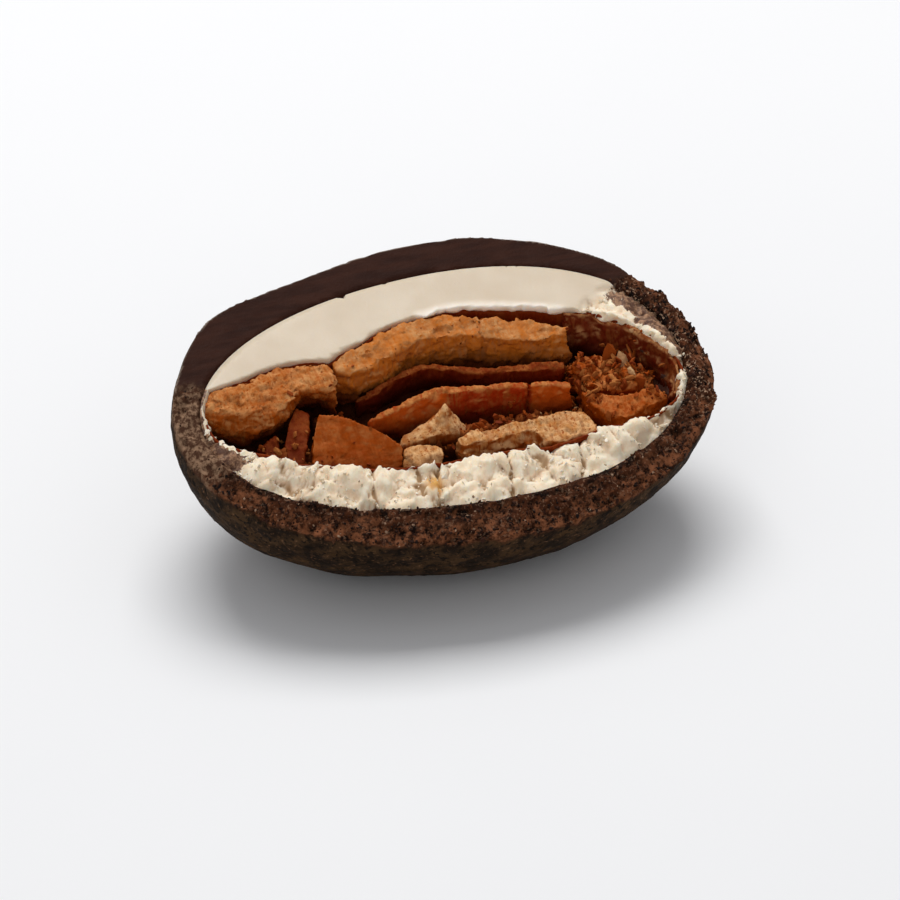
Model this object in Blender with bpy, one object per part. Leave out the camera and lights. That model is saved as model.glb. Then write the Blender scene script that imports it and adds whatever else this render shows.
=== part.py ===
# Half of a chocolate covered cocoa bean, lying on its round back with the cut face up.
#
# Every shape is drawn in the frame of the cut: u runs along the bean (+X), v runs up the
# slope of the cut, and h is the height above the cut. The empty "cut_frame" tilts it
# towards the front, and the empty "bean" sets it down on the floor.

import math

import bmesh
import bpy
from mathutils import Matrix, Vector, noise

MM = 0.001

# Driving dimensions, in millimetres and degrees
HALF_LENGTH = 13.0          # of the coated bean, along u
HALF_WIDTH = 9.35           # of the coated bean, level with the floor
HALF_HEIGHT = 7.5           # of the coated bean, upright
CUT_TILT = 16.0             # the cut leans towards the front
CUT_ABOVE_MIDDLE = 0.8      # the cut passes this far above the bean's middle
REST_DEPTH = 0.5            # how deep the resting spot is pressed in
REST_CORNERS = ((-3.0, 2.6), (3.0, 2.6), (0.0, -3.1))   # of its level facet, from the deepest point
REST_EASING = 2.0           # the facets round the level one rise by this angle
GAP = 0.15                  # left between neighbouring pieces

WHITE_HALF_LENGTH = 11.65
WHITE_HALF_WIDTH = 6.95
WHITE_DEPTH = 6.85
KERNEL_HALF_LENGTH = 11.3
KERNEL_HALF_WIDTH = 4.6
KERNEL_DEPTH = 4.95
KERNEL_TURN = -4.5          # the kernel lies a little askew in the cut
CLEFT_FLOOR = -2.3          # height of the base that shows between the folds
CLEFT_WIDTH = 0.26          # of the narrow cracks between neighbouring folds

AROUND = 92                 # facets round each layer


class Oval:
    """A superellipse on the cut, fuller at its right end by the share egg."""

    def __init__(self, centre, half_length, half_width, fullness, egg=0.0, turn=0.0):
        self.centre = Vector(centre)
        self.half_length = half_length
        self.half_width = half_width
        self.fullness = fullness
        self.egg = egg
        self.turn = turn

    def point(self, angle):
        power = 2.0 / self.fullness
        along = math.copysign(abs(math.cos(angle)) ** power, math.cos(angle))
        across = math.copysign(abs(math.sin(angle)) ** power, math.sin(angle))
        across *= 1.0 + self.egg * along
        flat = Vector((self.half_length * along, self.half_width * across))
        return self.centre + Matrix.Rotation(math.radians(self.turn), 2) @ flat

    def level(self, place):
        """1 on the outline, less inside."""
        flat = Matrix.Rotation(math.radians(-self.turn), 2) @ (place - self.centre)
        along = flat.x / self.half_length
        across = flat.y / (self.half_width * (1.0 + self.egg * along))
        total = abs(along) ** self.fullness + abs(across) ** self.fullness
        return total ** (1.0 / self.fullness)

    def grown(self, by):
        return Oval(self.centre, self.half_length + by, self.half_width + by,
                    self.fullness, self.egg, self.turn)


class Bowl:
    """The surface under an oval: reach is 0 at the bottom and 1 at the cut."""

    def __init__(self, oval, depth, bottom_shift):
        self.oval = oval
        self.depth = depth
        self.bottom_shift = bottom_shift    # the bottom lies up the slope by this much

    def point(self, angle, reach):
        turn = reach * math.pi / 2.0
        flat = self.oval.centre + (self.oval.point(angle) - self.oval.centre) * math.sin(turn)
        flat.y += self.bottom_shift * math.cos(turn)
        return Vector((flat.x, flat.y, -self.depth * math.cos(turn)))

    def grown(self, by):
        return Bowl(self.oval.grown(by), self.depth + by, self.bottom_shift)

    def held_inside(self, place):
        """The place, moved inwards along the cut if it lies outside the bowl."""
        h = max(min(place.z, 0.0), -0.88 * self.depth)
        shift = Vector((0.0, -self.bottom_shift * h / self.depth))
        narrowing = math.sqrt(1.0 - (h / self.depth) ** 2)
        flat = place.xy - shift
        level = self.oval.level(flat)
        if level > narrowing:
            flat = self.oval.centre + (flat - self.oval.centre) * narrowing / level
        flat += shift
        return Vector((flat.x, flat.y, place.z))


WHITE = Bowl(Oval((-0.15, -0.15), WHITE_HALF_LENGTH, WHITE_HALF_WIDTH, 2.15, 0.07),
             WHITE_DEPTH, 0.9)
HOLLOW = Bowl(Oval((-0.2, -0.3), KERNEL_HALF_LENGTH, KERNEL_HALF_WIDTH, 2.2, 0.03, KERNEL_TURN),
              KERNEL_DEPTH, 0.55)


# Small helpers

def smooth_step(low, high, value):
    share = min(1.0, max(0.0, (value - low) / (high - low)))
    return share * share * (3.0 - 2.0 * share)


def ripple(place, size, seed):
    """Smooth noise from -1 to 1 with bumps about size millimetres across."""
    return noise.noise(Vector(place) / size + Vector((seed, 2.3 * seed, -1.7 * seed)))


def through(values, share):
    """The value at share (0 to 1) of a smooth run through evenly spaced values."""
    last = len(values) - 1
    where = min(max(share, 0.0), 1.0) * last
    i = min(int(where), last - 1)
    t = where - i
    before, start = values[max(i - 1, 0)], values[i]
    end, after = values[i + 1], values[min(i + 2, last)]
    return 0.5 * (2.0 * start + (end - before) * t
                  + (2.0 * before - 5.0 * start + 4.0 * end - after) * t ** 2
                  + (3.0 * start - before - 3.0 * end + after) * t ** 3)


def arc_share(angle, start, end):
    """1 inside the arc from start to end (degrees, counter-clockwise), fading out past it."""
    fade = 9.0
    middle = math.radians((start + end) / 2.0)
    off = math.degrees(abs(math.atan2(math.sin(angle - middle), math.cos(angle - middle))))
    return 1.0 - smooth_step((end - start) / 2.0 - fade, (end - start) / 2.0 + fade, off)


def finished(name, bm, material):
    mesh = bpy.data.meshes.new(name)
    bm.to_mesh(mesh)
    bm.free()
    mesh.shade_smooth()
    mesh.set_sharp_from_angle(angle=math.radians(40.0))
    mesh.materials.append(material)
    shape = bpy.data.objects.new(name, mesh)
    PARTS.objects.link(shape)
    shape.parent = CUT_FRAME
    return shape


def food(name, colour, roughness):
    material = bpy.data.materials.new(name)
    material.use_nodes = True
    shader = material.node_tree.nodes["Principled BSDF"]
    shader.inputs["Base Color"].default_value = (*colour, 1.0)
    shader.inputs["Roughness"].default_value = roughness
    shader.inputs["Metallic"].default_value = 0.0
    return material


# The two chocolate layers, each a bowl between an inner and an outer surface

def coat_outside(angle, reach):
    """The coated bean: an ellipsoid whose middle lies below the cut, with soft lumps."""
    tilt = math.radians(CUT_TILT)
    normal_y, normal_z = -math.sin(tilt), math.cos(tilt)
    depth = math.hypot(HALF_WIDTH * normal_y, HALF_HEIGHT * normal_z)
    lowest_y = -HALF_WIDTH ** 2 * normal_y / depth
    lowest_z = -HALF_HEIGHT ** 2 * normal_z / depth
    bottom_v = lowest_y * math.cos(tilt) + lowest_z * math.sin(tilt)
    half_width = 1.0 / math.hypot(math.cos(tilt) / HALF_WIDTH, math.sin(tilt) / HALF_HEIGHT)
    section = Oval((-0.15, 0.0), HALF_LENGTH, half_width, 2.1, 0.03)
    turn = reach * math.acos(-CUT_ABOVE_MIDDLE / depth)
    flat = section.centre + (section.point(angle) - section.centre) * math.sin(turn)
    place = Vector((flat.x, flat.y + bottom_v * math.cos(turn),
                    -CUT_ABOVE_MIDDLE - depth * math.cos(turn)))
    lumps = 0.26 * ripple(place, 6.5, 3.0) + 0.10 * ripple(place, 2.6, 7.0)
    near_cut = reach ** 4
    shoulder = 0.30 * math.exp(-((math.degrees(angle) - 131.0) / 9.0) ** 2) * near_cut
    flattened = -0.28 * math.exp(-((math.degrees(angle) - 104.0) / 17.0) ** 2) * near_cut
    sideways = Vector((flat.x, flat.y, 0.0)).normalized() * math.sin(turn)
    outwards = sideways - Vector((0.0, 0.0, math.cos(turn)))
    return place + outwards * (lumps + shoulder + flattened)


def coat_rim_relief(angle, across, place):
    """Broken, sloping crumb at the front and both ends; the back was sliced flat."""
    broken = 1.0 - arc_share(angle, 34.0, 166.0)
    crumb = 0.26 * ripple(place, 0.95, 11.0) + 0.12 * ripple(place, 0.5, 5.0)
    return broken * (crumb - 0.10 - 0.42 * across ** 1.5)


def white_rim_relief(angle, across, place):
    """Chunks with cracks between them along the front; the back was sliced flat."""
    broken = 1.0 - arc_share(angle, 12.0, 172.0)
    crack = math.exp(-(ripple(place, 1.5, 21.0) / 0.07) ** 2)
    return broken * (0.22 * ripple(place, 1.3, 9.0) - 0.06 - 0.35 * crack)


def layer(name, material, inside, outside, relief, rows):
    """A bowl shaped from a sphere: its top pole becomes the bottom of the hollow."""
    inner_rows, rim_rows, outer_rows = rows
    total = inner_rows + rim_rows + outer_rows
    bm = bmesh.new()
    bmesh.ops.create_uvsphere(bm, u_segments=AROUND, v_segments=total, radius=1.0)
    for vertex in bm.verts:
        angle = math.atan2(vertex.co.y, vertex.co.x)
        row = round(math.acos(max(-1.0, min(1.0, vertex.co.z))) / math.pi * total)
        if row <= inner_rows:
            place = inside(angle, row / inner_rows)
        elif row < inner_rows + rim_rows:
            across = (row - inner_rows) / rim_rows
            place = inside(angle, 1.0).lerp(outside(angle, 1.0), across)
        else:
            place = outside(angle, (total - row) / outer_rows)
        if inner_rows <= row <= inner_rows + rim_rows:
            place.z += relief(angle, (row - inner_rows) / rim_rows, place)
        vertex.co = place * MM
    return finished(name, bm, material)


def press_resting_spot(shape):
    """Presses the underside onto the floor: a level facet with three eased ones round it."""
    level = Matrix.Rotation(math.radians(-CUT_TILT), 3, "X")
    down = level @ Vector((0.0, 0.0, -1.0))
    deepest = max((v.co for v in shape.data.vertices), key=lambda co: co.dot(down))
    middle = deepest - down * REST_DEPTH * MM
    corners = [middle + level @ Vector((x, y, 0.0)) * MM for x, y in REST_CORNERS]
    planes = [(middle, down)]
    for start, end in zip(corners, corners[1:] + corners[:1]):
        outwards = (end - start).cross(down).normalized()
        if outwards.dot(start - middle) < 0.0:
            outwards.negate()
        easing = math.radians(REST_EASING)
        planes.append((start, down * math.cos(easing) + outwards * math.sin(easing)))
    bm = bmesh.new()
    bm.from_mesh(shape.data)
    for point, normal in planes:
        bmesh.ops.bisect_plane(bm, geom=bm.verts[:] + bm.edges[:] + bm.faces[:], dist=1e-7,
                               plane_co=point, plane_no=normal, clear_outer=True)
        bmesh.ops.edgeloop_fill(bm, edges=[e for e in bm.edges if e.is_boundary])
    bmesh.ops.recalc_face_normals(bm, faces=bm.faces)
    bm.to_mesh(shape.data)
    bm.free()


# The kernel: a base under a set of folded, cracked pieces

def kernel_base(name, material):
    """The unseen lower part of the kernel, filling the hollow up to the clefts' floor."""
    around, rows = 40, 16
    core = HOLLOW.grown(-GAP)
    rim_reach = math.acos(-CLEFT_FLOOR / core.depth) / (math.pi / 2.0)
    centre = core.oval.centre
    bm = bmesh.new()
    bmesh.ops.create_uvsphere(bm, u_segments=around, v_segments=rows, radius=1.0)
    for vertex in bm.verts:
        angle = math.atan2(vertex.co.y, vertex.co.x)
        row = round(math.acos(max(-1.0, min(1.0, vertex.co.z))) / math.pi * rows)
        if row <= rows // 2:
            middle = Vector((centre.x, centre.y, CLEFT_FLOOR))
            place = middle.lerp(core.point(angle, rim_reach), row / (rows // 2))
            place.z = CLEFT_FLOOR + 0.06 * ripple(place, 1.4, 4.0)
        else:
            place = core.point(angle, rim_reach * (rows - row) / (rows // 2))
        vertex.co = place * MM
    return finished(name, bm, material)


class Fold:
    """One piece of the kernel: a block bent along a spine that is drawn on the cut.

    The spine, half widths and tops are each an even run of values from the left end to
    the right end. front_drop lowers the top's front edge, and front_lean draws that edge
    back from the foot of the front wall.
    """

    def __init__(self, name, material, spine, half_widths, tops, cuts=(10, 3, 3),
                 front_drop=0.0, front_lean=0.0, roughness=0.08):
        self.name = name
        self.material = material
        self.spine = [Vector(point) for point in spine]
        self.half_widths = half_widths
        self.tops = tops
        self.cuts = cuts
        self.front_drop = front_drop
        self.front_lean = front_lean
        self.roughness = roughness
        steps = 4 * len(spine)
        self.discs = [(self.middle(i / steps), through(half_widths, i / steps))
                      for i in range(steps + 1)]

    def middle(self, share):
        return Vector((through([p.x for p in self.spine], share),
                       through([p.y for p in self.spine], share)))

    def away(self, place):
        """Distance from the fold's outline on the cut, negative inside."""
        return min((place - middle).length - width for middle, width in self.discs)

    def shaped(self, x, y, z, seed):
        """Where a point of the unit block goes, and the point of the spine it hangs on."""
        body = 0.8
        cap = math.radians(72.0) * max(0.0, abs(x) - body) / (1.0 - body)
        share = (max(-body, min(body, x)) / body + 1.0) / 2.0
        middle = self.middle(share)
        ahead = (self.middle(share + 0.03) - self.middle(share - 0.03)).normalized()
        sideways = Vector((-ahead.y, ahead.x))
        width = through(self.half_widths, share)
        lean = self.front_lean * (1.0 - y) / 2.0 * (1.0 + z) / 2.0
        across = (y * width + lean) * math.cos(cap)
        flat = middle + sideways * across + ahead * math.copysign(width * math.sin(cap), x)
        top = through(self.tops, share) - self.front_drop * (1.0 - y) / 2.0 - 0.10 * y * y
        top = min(top + self.roughness * ripple((flat.x, flat.y, 0.0), 1.1, seed), 0.0)
        seat = CLEFT_FLOOR + 0.07 + GAP
        h = seat + (max(top, seat + 0.3) - seat) * (z + 1.0) / 2.0
        flat.x += self.roughness * ripple((flat.x, flat.y, h), 1.1, seed + 9.0)
        flat.y += self.roughness * ripple((flat.x, flat.y, h), 1.1, seed + 17.0)
        return Vector((flat.x, flat.y, h)), middle

    def build(self, neighbours, wall, seed):
        """Makes the solid; cracks run midway between this fold and its neighbours."""
        bm = bmesh.new()
        bmesh.ops.create_cube(bm, size=2.0)
        for axis, count in enumerate(self.cuts):
            along = [e for e in bm.edges if abs((e.verts[0].co - e.verts[1].co)[axis]) > 1.9]
            bmesh.ops.subdivide_edges(bm, edges=along, cuts=count, use_grid_fill=True)
        for vertex in bm.verts:
            place, middle = self.shaped(*vertex.co, seed)
            full = place.xy
            kept, too_far = 0.0, 1.0
            for halving in range(7):
                tried = 1.0 if halving == 0 else (kept + too_far) / 2.0
                spot = middle.lerp(full, tried)
                own = self.away(spot)
                if all(other.away(spot) - own >= CLEFT_WIDTH for other in neighbours):
                    kept = tried
                else:
                    too_far = tried
                if kept == 1.0:
                    break
            place.xy = middle.lerp(full, kept)
            vertex.co = wall.held_inside(place) * MM
        return finished(self.name, bm, self.material)


# The scene

for old in list(bpy.data.objects):
    bpy.data.objects.remove(old)

PARTS = bpy.data.collections.new("chocolate_covered_cocoa_bean")
bpy.context.scene.collection.children.link(PARTS)

BEAN = bpy.data.objects.new("bean", None)
CUT_FRAME = bpy.data.objects.new("cut_frame", None)
PARTS.objects.link(BEAN)
PARTS.objects.link(CUT_FRAME)
CUT_FRAME.parent = BEAN
CUT_FRAME.rotation_euler.x = math.radians(CUT_TILT)

DARK_CHOCOLATE = food("dark_chocolate", (0.045, 0.026, 0.019), 0.75)
WHITE_CHOCOLATE = food("white_chocolate", (0.72, 0.60, 0.44), 0.45)
KERNEL_TAN = food("kernel_tan", (0.50, 0.20, 0.07), 0.6)
KERNEL_ORANGE = food("kernel_orange", (0.40, 0.13, 0.03), 0.5)
KERNEL_RED = food("kernel_red_brown", (0.19, 0.045, 0.015), 0.5)
SEED_SKIN = food("seed_skin", (0.16, 0.055, 0.02), 0.6)

coat = layer("dark_chocolate_coat", DARK_CHOCOLATE, WHITE.grown(GAP).point, coat_outside,
             coat_rim_relief, (5, 5, 9))
press_resting_spot(coat)
layer("white_chocolate_layer", WHITE_CHOCOLATE, HOLLOW.point, WHITE.point,
      white_rim_relief, (5, 5, 5))
kernel_base("kernel_base", KERNEL_RED)

# A granular rounded end of the kernel, level with the cut
left_lobe = Fold("kernel_lobe_left", KERNEL_TAN,
                 spine=[(-10.1, 0.95), (-8.6, 1.8), (-6.9, 2.3), (-5.5, 2.1)],
                 half_widths=[1.8, 1.9, 1.7, 1.5], tops=[-0.1, 0.0, 0.0, -0.1],
                 cuts=(10, 5, 3), front_drop=0.25, front_lean=0.2)

# The long lobe along the back, kinked past its middle
back_lobe = Fold("kernel_lobe_back", KERNEL_TAN,
                 spine=[(-3.7, 2.0), (-1.9, 2.95), (0.3, 3.3), (3.1, 3.15), (5.9, 2.0)],
                 half_widths=[1.4, 1.2, 1.1, 1.0, 1.1], tops=[-0.15, 0.0, 0.0, 0.0, -0.15],
                 cuts=(14, 4, 3), front_drop=0.25)

# A thin sheet sunk between two deep fissures
upper_fold = Fold("kernel_fold_upper", KERNEL_RED,
                  spine=[(-3.5, 0.65), (-2.0, 1.3), (0.2, 1.75), (2.7, 1.15), (5.6, 0.35)],
                  half_widths=[0.35, 0.5, 0.5, 0.5, 0.45], tops=[-1.3, -1.0, -0.9, -0.9, -1.0],
                  cuts=(14, 2, 2), roughness=0.05)

# The middle sheet, whose front wall slopes down to the cleft's floor
middle_fold = Fold("kernel_fold_middle", KERNEL_ORANGE,
                   spine=[(-3.1, -0.8), (-1.3, -0.45), (1.2, -0.75), (3.4, -1.2), (5.2, -1.65)],
                   half_widths=[0.8, 1.05, 1.05, 0.95, 0.9],
                   tops=[-0.9, -0.5, -0.4, -0.4, -0.5],
                   cuts=(14, 4, 3), front_drop=0.15, front_lean=1.25, roughness=0.06)

# A smooth block whose top slopes from a raised back edge down to the front wall
front_block = Fold("kernel_block_front", KERNEL_ORANGE,
                   spine=[(-6.2, -1.6), (-5.1, -1.9), (-4.2, -2.9)],
                   half_widths=[1.8, 1.8, 1.3], tops=[-0.2, -0.3, -0.7],
                   cuts=(7, 6, 3), front_drop=1.25, roughness=0.04)

# Two dark sheets standing between the left lobe and the front block
near_slab = Fold("kernel_slab_left", KERNEL_RED,
                 spine=[(-8.4, -2.4), (-7.9, -0.9), (-7.0, 0.3)],
                 half_widths=[0.55, 0.6, 0.45], tops=[-1.1, -0.95, -0.8],
                 cuts=(8, 2, 2), roughness=0.04)
far_slab = Fold("kernel_slab_far_left", KERNEL_RED,
                spine=[(-9.9, -1.7), (-9.3, -1.2), (-8.8, -0.5)],
                half_widths=[0.75, 0.8, 0.5], tops=[-1.3, -1.3, -1.25],
                cuts=(7, 3, 2), roughness=0.04)

# The strip along the front wall of the white layer
front_strip = Fold("kernel_strip_front", KERNEL_TAN,
                   spine=[(0.3, -3.5), (2.6, -3.45), (4.7, -3.6)],
                   half_widths=[1.0, 1.15, 1.1], tops=[-0.65, -0.45, -0.4],
                   cuts=(11, 4, 3), front_drop=0.35)

# The right end: a pointed lobe in front, crumbled kernel behind it, and the seed's skin
right_lobe = Fold("kernel_lobe_right", KERNEL_ORANGE,
                  spine=[(6.6, -2.85), (7.8, -2.95), (9.3, -2.95)],
                  half_widths=[1.3, 1.2, 0.7], tops=[-0.35, -0.3, -0.45],
                  cuts=(8, 4, 3), front_drop=0.2)
right_crumble = Fold("kernel_crumble_right", KERNEL_ORANGE,
                     spine=[(7.0, -0.3), (8.1, -0.7), (9.2, -1.3)],
                     half_widths=[1.1, 1.1, 0.8], tops=[-0.75, -0.85, -1.1],
                     cuts=(9, 6, 3), roughness=0.25)
skin = Fold("bean_skin_right", SEED_SKIN,
            spine=[(7.7, 2.1), (9.1, 1.1), (10.2, -0.2), (10.6, -1.6)],
            half_widths=[0.35, 0.35, 0.32, 0.28], tops=[-0.15, -0.1, -0.1, -0.2],
            cuts=(12, 2, 3), roughness=0.05)

# Two chips broken off between the front block, the middle sheet and the front strip
peaked_chip = Fold("kernel_chip_middle", KERNEL_TAN,
                   spine=[(-0.9, -2.1), (-0.4, -2.05), (0.2, -2.2)],
                   half_widths=[0.4, 0.55, 0.4], tops=[-1.3, -0.35, -1.2],
                   cuts=(5, 3, 2), front_drop=0.5, front_lean=0.3, roughness=0.04)
front_chip = Fold("kernel_chip_front", KERNEL_TAN,
                  spine=[(-2.8, -2.3), (-2.3, -2.9), (-1.8, -3.6)],
                  half_widths=[0.6, 0.75, 0.6], tops=[-0.9, -0.65, -0.75],
                  cuts=(5, 3, 2), front_drop=0.3, roughness=0.05)

KERNEL_PIECES = (left_lobe, back_lobe, upper_fold, middle_fold, front_block, near_slab, far_slab,
                 front_strip, right_lobe, right_crumble, skin, peaked_chip, front_chip)
WALL = HOLLOW.grown(-GAP)
for number, fold in enumerate(KERNEL_PIECES):
    others = [other for other in KERNEL_PIECES if other is not fold]
    fold.build(others, WALL, seed=31.0 + 2.0 * number)

# The origin is the middle of the bottom of the whole object's box
bpy.context.view_layer.update()
corners = [shape.matrix_world @ v.co for shape in PARTS.objects if shape.type == "MESH"
           for v in shape.data.vertices]
lowest = Vector([min(corner[i] for corner in corners) for i in range(3)])
highest = Vector([max(corner[i] for corner in corners) for i in range(3)])
BEAN.location = (-(lowest.x + highest.x) / 2.0, -(lowest.y + highest.y) / 2.0, -lowest.z)
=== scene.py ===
import math
import random

import bpy
import numpy as np
from mathutils import Euler, Matrix, Vector, noise
from mathutils.bvhtree import BVHTree


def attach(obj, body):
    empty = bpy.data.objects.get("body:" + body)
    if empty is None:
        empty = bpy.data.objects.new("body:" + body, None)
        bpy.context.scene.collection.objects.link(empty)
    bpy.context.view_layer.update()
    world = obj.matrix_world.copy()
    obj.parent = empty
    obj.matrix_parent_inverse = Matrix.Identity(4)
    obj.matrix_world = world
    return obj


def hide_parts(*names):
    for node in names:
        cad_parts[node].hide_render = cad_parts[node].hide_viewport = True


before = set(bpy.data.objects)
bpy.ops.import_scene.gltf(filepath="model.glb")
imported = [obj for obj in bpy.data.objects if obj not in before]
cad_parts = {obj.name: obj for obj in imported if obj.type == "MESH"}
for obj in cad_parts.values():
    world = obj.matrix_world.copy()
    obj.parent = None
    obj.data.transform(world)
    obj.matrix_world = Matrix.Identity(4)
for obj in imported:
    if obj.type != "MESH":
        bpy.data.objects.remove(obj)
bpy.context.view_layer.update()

# Pieces are shaped in millimetres on the cut: u along the bean, v up the slope, h above the cut.
# settle() then puts each one in its place in metres.
cut = {"tilt": 16.0, "middle": (0.115, -0.363, 7.776)}
millimetre = 0.001
mergeDistance = 0.002
cutToFrame = (Matrix.Scale(millimetre, 4) @ Matrix.Translation(cut["middle"])
              @ Matrix.Rotation(math.radians(cut["tilt"]), 4, "X"))
frameToCut = cutToFrame.inverted()


# Hands

def pickOnly(piece):
    bpy.ops.object.select_all(action="DESELECT")
    piece.select_set(True)
    bpy.context.view_layer.objects.active = piece


def apply(piece, kind, **settings):
    pickOnly(piece)
    modifier = piece.modifiers.new(kind, kind)
    for key, value in settings.items():
        setattr(modifier, key, value)
    bpy.ops.object.modifier_apply(modifier=modifier.name)


def copyOfNode(node, name):
    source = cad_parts[node]
    mesh = source.data.copy()
    mesh.materials.clear()
    mesh.transform(frameToCut @ source.matrix_world)
    piece = bpy.data.objects.new(name, mesh)
    bpy.context.scene.collection.objects.link(piece)
    pickOnly(piece)
    bpy.ops.object.mode_set(mode="EDIT")
    bpy.ops.mesh.select_all(action="SELECT")
    bpy.ops.mesh.remove_doubles(threshold=mergeDistance)
    bpy.ops.object.mode_set(mode="OBJECT")
    return piece


def remesh(piece, size, rounds=2):
    apply(piece, "REMESH", mode="VOXEL", voxel_size=size, use_smooth_shade=True)
    apply(piece, "SMOOTH", factor=0.5, iterations=rounds)       # takes the voxel steps off


def places(piece):
    flat = np.empty(3 * len(piece.data.vertices))
    piece.data.vertices.foreach_get("co", flat)
    return flat.reshape(-1, 3)


def normals(piece):
    flat = np.empty(3 * len(piece.data.vertices))
    piece.data.vertex_normals.foreach_get("vector", flat)
    return flat.reshape(-1, 3)


def move(piece, spots):
    piece.data.vertices.foreach_set("co", spots.ravel())
    piece.data.update()


def mark(piece, **values):      # attributes that the materials read
    attributes = piece.data.attributes
    for name, value in values.items():
        layer = attributes.get(name) or attributes.new(name, "FLOAT", "POINT")
        layer.data.foreach_set("value", np.asarray(value, dtype=np.float32))


def smoothStep(low, high, value):
    share = np.clip((value - low) / (high - low), 0.0, 1.0)
    return share * share * (3.0 - 2.0 * share)


def inPattern(spots, size, seed):       # each seed reads its own part of the noise
    return (spots / size + np.array([seed, -1.7 * seed, 2.3 * seed])).tolist()


def ripple(spots, size, seed, stretch=(1.0, 1.0, 1.0)):     # smooth noise, -1 to 1
    wide = size * np.array(stretch)
    return np.array([noise.noise(spot) for spot in inPattern(spots, wide, seed)])


def rippled(spots, *waves):     # each wave is its size, how far it goes and its seed
    return sum(far * ripple(spots, size, seed) for size, far, seed in waves)


def grains(spots, size, seed):      # 1 in the middle of a grain, and how near its border is
    near = np.array([noise.voronoi(spot)[0][:2] for spot in inPattern(spots, size, seed)])
    return 1.0 - near[:, 0], near[:, 1] - near[:, 0]


def brokenFaces(spots, size, seed):     # flat faces, each at its own height and slant
    heights, gaps = [], []
    for spot in inPattern(spots, size, seed):
        far, near = noise.voronoi(spot)
        chance = noise.cell_vector(near[0] * 7.0)
        off = Vector(spot) - near[0]
        slant = (off.x * (chance.y - 0.5) + off.y * (chance.z - 0.5) + off.z * (chance.x - 0.5))
        heights.append(chance.x - 0.5 + 1.6 * slant)
        gaps.append(far[1] - far[0])
    return np.array(heights), np.array(gaps)


def aroundCut(spots, halfLength, halfWidth):        # degrees, counter-clockwise from the right
    return np.degrees(np.arctan2(spots[:, 1] / halfWidth, spots[:, 0] / halfLength))


def within(value, start, end, fade):
    return (smoothStep(start - fade, start + fade, value)
            * (1.0 - smoothStep(end - fade, end + fade, value)))


def withinArc(angle, start, end, fade):     # also where the arc passes half a turn
    return within(np.where(angle < start - 90.0, angle + 360.0, angle), start, end, fade)


def aboveFloor(spots):      # in millimetres
    return (spots @ np.array(cutToFrame.to_3x3()).T)[:, 2] / millimetre + cut["middle"][2]


def settle(piece, material, slotName, *nodes, crisp=False):
    piece.data.materials.append(material)
    piece.data.transform(cutToFrame)
    spots = places(piece)
    spots[:, 2] = np.maximum(spots[:, 2], 0.0)      # nothing goes into the floor
    move(piece, spots)
    pickOnly(piece)
    if crisp:
        bpy.ops.object.shade_flat()
    else:
        bpy.ops.object.shade_smooth()
    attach(piece, "root")
    if nodes:
        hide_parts(*nodes)
    print(piece.name, len(piece.data.polygons), "faces")


# Material tools

def toLinear(hexColour):
    parts = [int(hexColour[i:i + 2], 16) / 255.0 for i in (1, 3, 5)]
    return [p / 12.92 if p <= 0.04045 else ((p + 0.055) / 1.055) ** 2.4 for p in parts] + [1.0]


def addNode(tree, kind, settings=None, links=None):
    node = tree.nodes.new(kind)
    for key, value in (settings or {}).items():
        if isinstance(key, int) or key in node.inputs:
            node.inputs[key].default_value = value
        else:
            setattr(node, key, value)
    for key, socket in (links or {}).items():
        tree.links.new(socket, node.inputs[key])
    return node


def newMaterial(name, **settings):
    material = bpy.data.materials.new(name)
    material.use_nodes = True
    tree = material.node_tree
    shader = tree.nodes["Principled BSDF"]
    for key, value in settings.items():
        shader.inputs[key.replace("_", " ")].default_value = value
    return material, tree, shader


def mask(tree, size=None, attribute=None, low=None, high=None, least=0.0, most=1.0, detail=3.0,
         roughness=0.6, distortion=0.0, stretch=None):
    # Where something shows: a piece's own attribute, a noise of this size in millimetres, or
    # their sum, read from low to high and given back from least to most.
    found = []
    if attribute:
        named = addNode(tree, "ShaderNodeAttribute", {"attribute_name": attribute})
        found.append(named.outputs["Fac"])
    if size:
        where = addNode(tree, "ShaderNodeTexCoord").outputs["Object"]
        if stretch:
            turned = addNode(tree, "ShaderNodeMapping", {"Scale": stretch}, {"Vector": where})
            where = turned.outputs["Vector"]
        grain = {"Scale": 1.0 / (size * millimetre), "Detail": detail, "Roughness": roughness,
                 "Distortion": distortion}
        found.append(addNode(tree, "ShaderNodeTexNoise", grain, {"Vector": where}).outputs["Fac"])
    if len(found) > 1:
        both = addNode(tree, "ShaderNodeMath", {"operation": "ADD"}, dict(enumerate(found)))
        found = [both.outputs[0]]
    limits = {"To Min": least, "To Max": most}
    if low is not None:
        limits.update({"From Min": low, "From Max": high, "interpolation_type": "SMOOTHSTEP"})
    return addNode(tree, "ShaderNodeMapRange", limits, {"Value": found[0]}).outputs["Result"]


def patches(size, low, high, detail=4.0, roughness=0.7, **more):      # settings of a noise's mask
    return {"size": size, "low": low, "high": high, "detail": detail, "roughness": roughness,
            **more}


def layered(tree, under, *layers):
    # Each layer is a colour, or a list of layers of its own, and what it shows in: attributes
    # by name, or the settings of masks.
    for over, *where in layers:
        shown = [mask(tree, attribute=spot) if isinstance(spot, str) else mask(tree, **spot)
                 for spot in where]
        if len(shown) > 1:
            both = dict(enumerate(shown))
            shown = addNode(tree, "ShaderNodeMath", {"operation": "MULTIPLY"}, both).outputs
        settings, links = {}, {"Fac": shown[0]}
        for key, colour in (("Color1", under), ("Color2", over)):
            if isinstance(colour, str):
                settings[key] = toLinear(colour)
            else:
                links[key] = layered(tree, *colour) if isinstance(colour, list) else colour
        under = addNode(tree, "ShaderNodeMixRGB", settings, links).outputs["Color"]
    return under


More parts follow.
